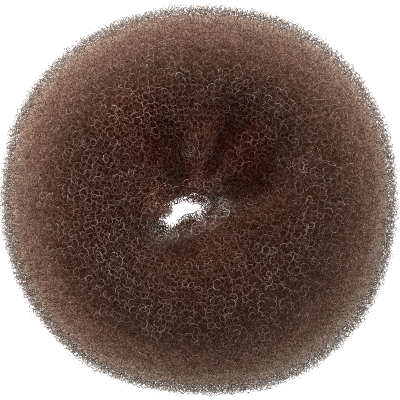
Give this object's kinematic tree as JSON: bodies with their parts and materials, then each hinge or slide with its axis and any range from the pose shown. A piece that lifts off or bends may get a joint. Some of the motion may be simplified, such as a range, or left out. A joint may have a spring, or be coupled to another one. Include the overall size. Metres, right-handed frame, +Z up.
{
  "type": "hair donut bun maker",
  "caption": "Springy ring of curly nylon web with a slit through its middle, which a ponytail is pulled through to shape a bun.",
  "frame": {"origin": "middle of the ring at the bottom, where it lies on its flattened underside", "axes": "+Z up along the ring's axis, +X along the slit that the ponytail goes through"},
  "size_m": [0.0996, 0.0992, 0.0398],
  "materials": {
    "nylon_web": "dense curly web of fine brown nylon filament with a faint gloss on each strand"
  },
  "bodies": {
    "root": {"mesh_ring": "nylon_web"}
  },
  "joints": []
}
